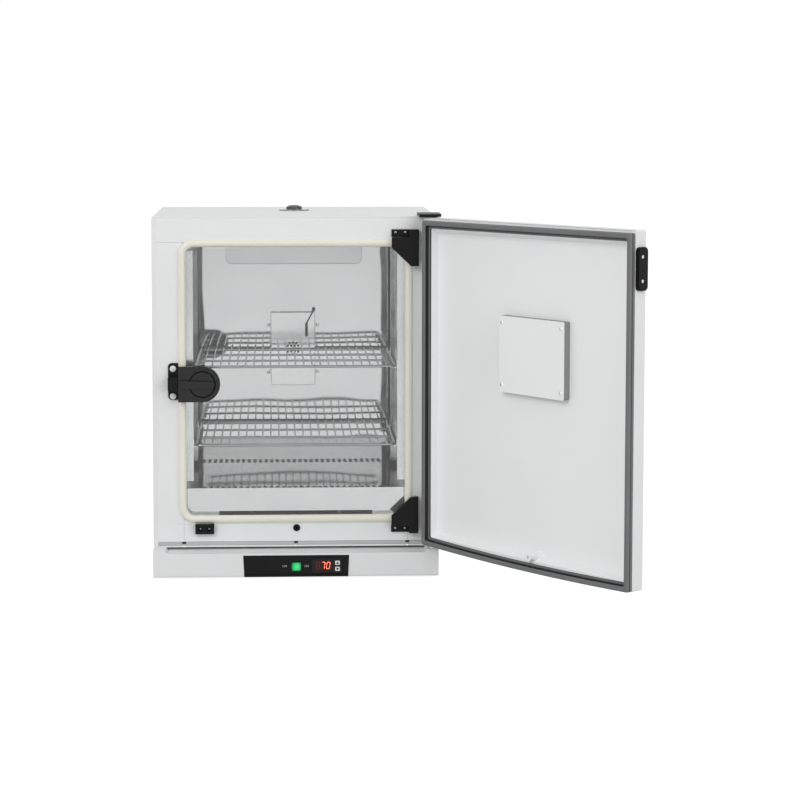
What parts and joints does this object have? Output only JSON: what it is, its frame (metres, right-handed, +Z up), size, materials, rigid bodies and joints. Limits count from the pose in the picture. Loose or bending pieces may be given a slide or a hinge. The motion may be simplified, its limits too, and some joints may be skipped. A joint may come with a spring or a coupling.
{
  "type": "laboratory incubator",
  "caption": "Benchtop laboratory incubator with an insulated outer door, an inner glass door with a turn latch, a stainless chamber with wire shelves and a control base.",
  "frame": {"origin": "on the bench surface, under the middle of the cabinet body's footprint", "axes": "+X to the right as seen from the front, +Y to the back, +Z up"},
  "size_m": [0.8141, 0.7978, 0.6561],
  "materials": {
    "case_paint": "satin powder coat",
    "frame_paint": "satin powder coat",
    "grey_strip": "satin powder coat",
    "stainless": "bright stainless sheet",
    "wire": "polished wire",
    "dark_steel": "heater tube",
    "foam": "insulating fibre",
    "cream_rubber": "soft silicone",
    "grey_rubber": "soft seal",
    "black_plastic": "fine moulded texture",
    "gloss_black": "glossy",
    "grey_plastic": "satin",
    "light_plastic": "satin",
    "glass": "clear float glass",
    "rocker_green": "lit translucent plastic",
    "display_red": "smoked window",
    "key_white": "glossy",
    "screw_steel": "bright screws",
    "motor_steel": "motor can",
    "foot_rubber": "black rubber"
  },
  "bodies": {
    "cabinet": {"outer_case": "case_paint", "back_panel": "case_paint", "top_rail": "frame_paint", "left_stile": "frame_paint", "right_stile": "frame_paint", "bottom_rail": "frame_paint", "plinth_strip": "grey_strip", "chamber_liner": "stainless", "insulation": "foam", "chamber_seal": "cream_rubber", "floor_plate": "stainless", "fan_cover": "stainless", "vent_baffle": "stainless", "temperature_probe": "black_plastic", "fan_motor": "motor_steel", "heating_element": "dark_steel", "left_uprights": "stainless", "right_uprights": "stainless", "upper_runners": "stainless", "lower_runners": "stainless", "vent_flange": "stainless", "glass_hinge_top": "black_plastic", "glass_hinge_bottom": "black_plastic", "strike_plate": "black_plastic", "glass_rest": "black_plastic", "door_contact": "black_plastic", "door_hinge_cap": "black_plastic", "door_hinge_foot": "screw_steel", "base_housing": "case_paint", "base_tray": "case_paint", "feet": "foot_rubber", "control_panel": "black_plastic", "switch_bezel": "gloss_black", "controller_case": "gloss_black", "display_window": "display_red", "mains_inlet": "black_plastic", "frame_screws": "screw_steel", "panel_screws": "screw_steel"},
    "fan": {"fan_wheel": "stainless"},
    "upper_shelf": {"upper_shelf": "wire"},
    "lower_shelf": {"lower_shelf": "wire"},
    "glass_door": {"glass_pane": "glass", "glass_clamp_top": "black_plastic", "glass_clamp_bottom": "black_plastic", "latch_housing": "black_plastic"},
    "latch_knob": {"latch_knob": "black_plastic"},
    "latch_bolt": {"latch_bolt": "dark_steel"},
    "outer_door": {"door_shell": "case_paint", "door_pan": "light_plastic", "door_gasket": "grey_rubber", "door_insulation": "foam", "door_cover_plate": "light_plastic", "door_buffer": "light_plastic", "door_handle": "black_plastic", "door_screws": "screw_steel"},
    "power_rocker": {"power_rocker": "rocker_green"},
    "up_button": {"up_button": "key_white"},
    "down_button": {"down_button": "key_white"},
    "vent_cap": {"vent_cap": "grey_plastic"}
  },
  "joints": [
    {"name": "outer_door_hinge", "type": "hinge", "parent": "cabinet", "child": "outer_door", "pos_m": [0.2441, -0.2057, 0.3525], "axis": [0, 0, 1], "range_deg": [-127.4, 50]},
    {"name": "glass_door_hinge", "type": "hinge", "parent": "cabinet", "child": "glass_door", "pos_m": [0.215, -0.192, 0.3505], "axis": [0, 0, 1], "range_deg": [0, 95]},
    {"name": "latch_turn", "type": "hinge", "parent": "glass_door", "child": "latch_knob", "pos_m": [-0.1661, -0.2003, 0.348], "axis": [0, -1, 0], "range_deg": [0, 90]},
    {"name": "latch_bolt_slide", "type": "slide", "parent": "glass_door", "child": "latch_bolt", "axis": [-1, 0, 0], "range_m": [0, 0.009]},
    {"name": "fan_spin", "type": "hinge", "parent": "cabinet", "child": "fan", "pos_m": [-0.002, 0.14, 0.375], "axis": [0, 1, 0], "continuous": true},
    {"name": "upper_shelf_slide", "type": "slide", "parent": "cabinet", "child": "upper_shelf", "axis": [0, -1, 0], "range_m": [0, 0.02]},
    {"name": "lower_shelf_slide", "type": "slide", "parent": "cabinet", "child": "lower_shelf", "axis": [0, -1, 0], "range_m": [0, 0.02]},
    {"name": "vent_cap_turn", "type": "hinge", "parent": "cabinet", "child": "vent_cap", "pos_m": [0, 0.034, 0.65], "axis": [0, 0, 1], "range_deg": [0, 90]},
    {"name": "power_rocker_tilt", "type": "hinge", "parent": "cabinet", "child": "power_rocker", "pos_m": [0, -0.2143, 0.0221], "axis": [0, 0, 1], "range_deg": [-18, 0]},
    {"name": "up_button_press", "type": "slide", "parent": "cabinet", "child": "up_button", "axis": [0, 1, 0], "range_m": [0, 0.0008], "stiffness_N_per_m": 600},
    {"name": "down_button_press", "type": "slide", "parent": "cabinet", "child": "down_button", "axis": [0, 1, 0], "range_m": [0, 0.0008], "stiffness_N_per_m": 600}
  ],
  "couplings": [
    {"joint": "latch_bolt_slide", "follows": "latch_turn", "m_per_rad": 0.0057296}
  ]
}
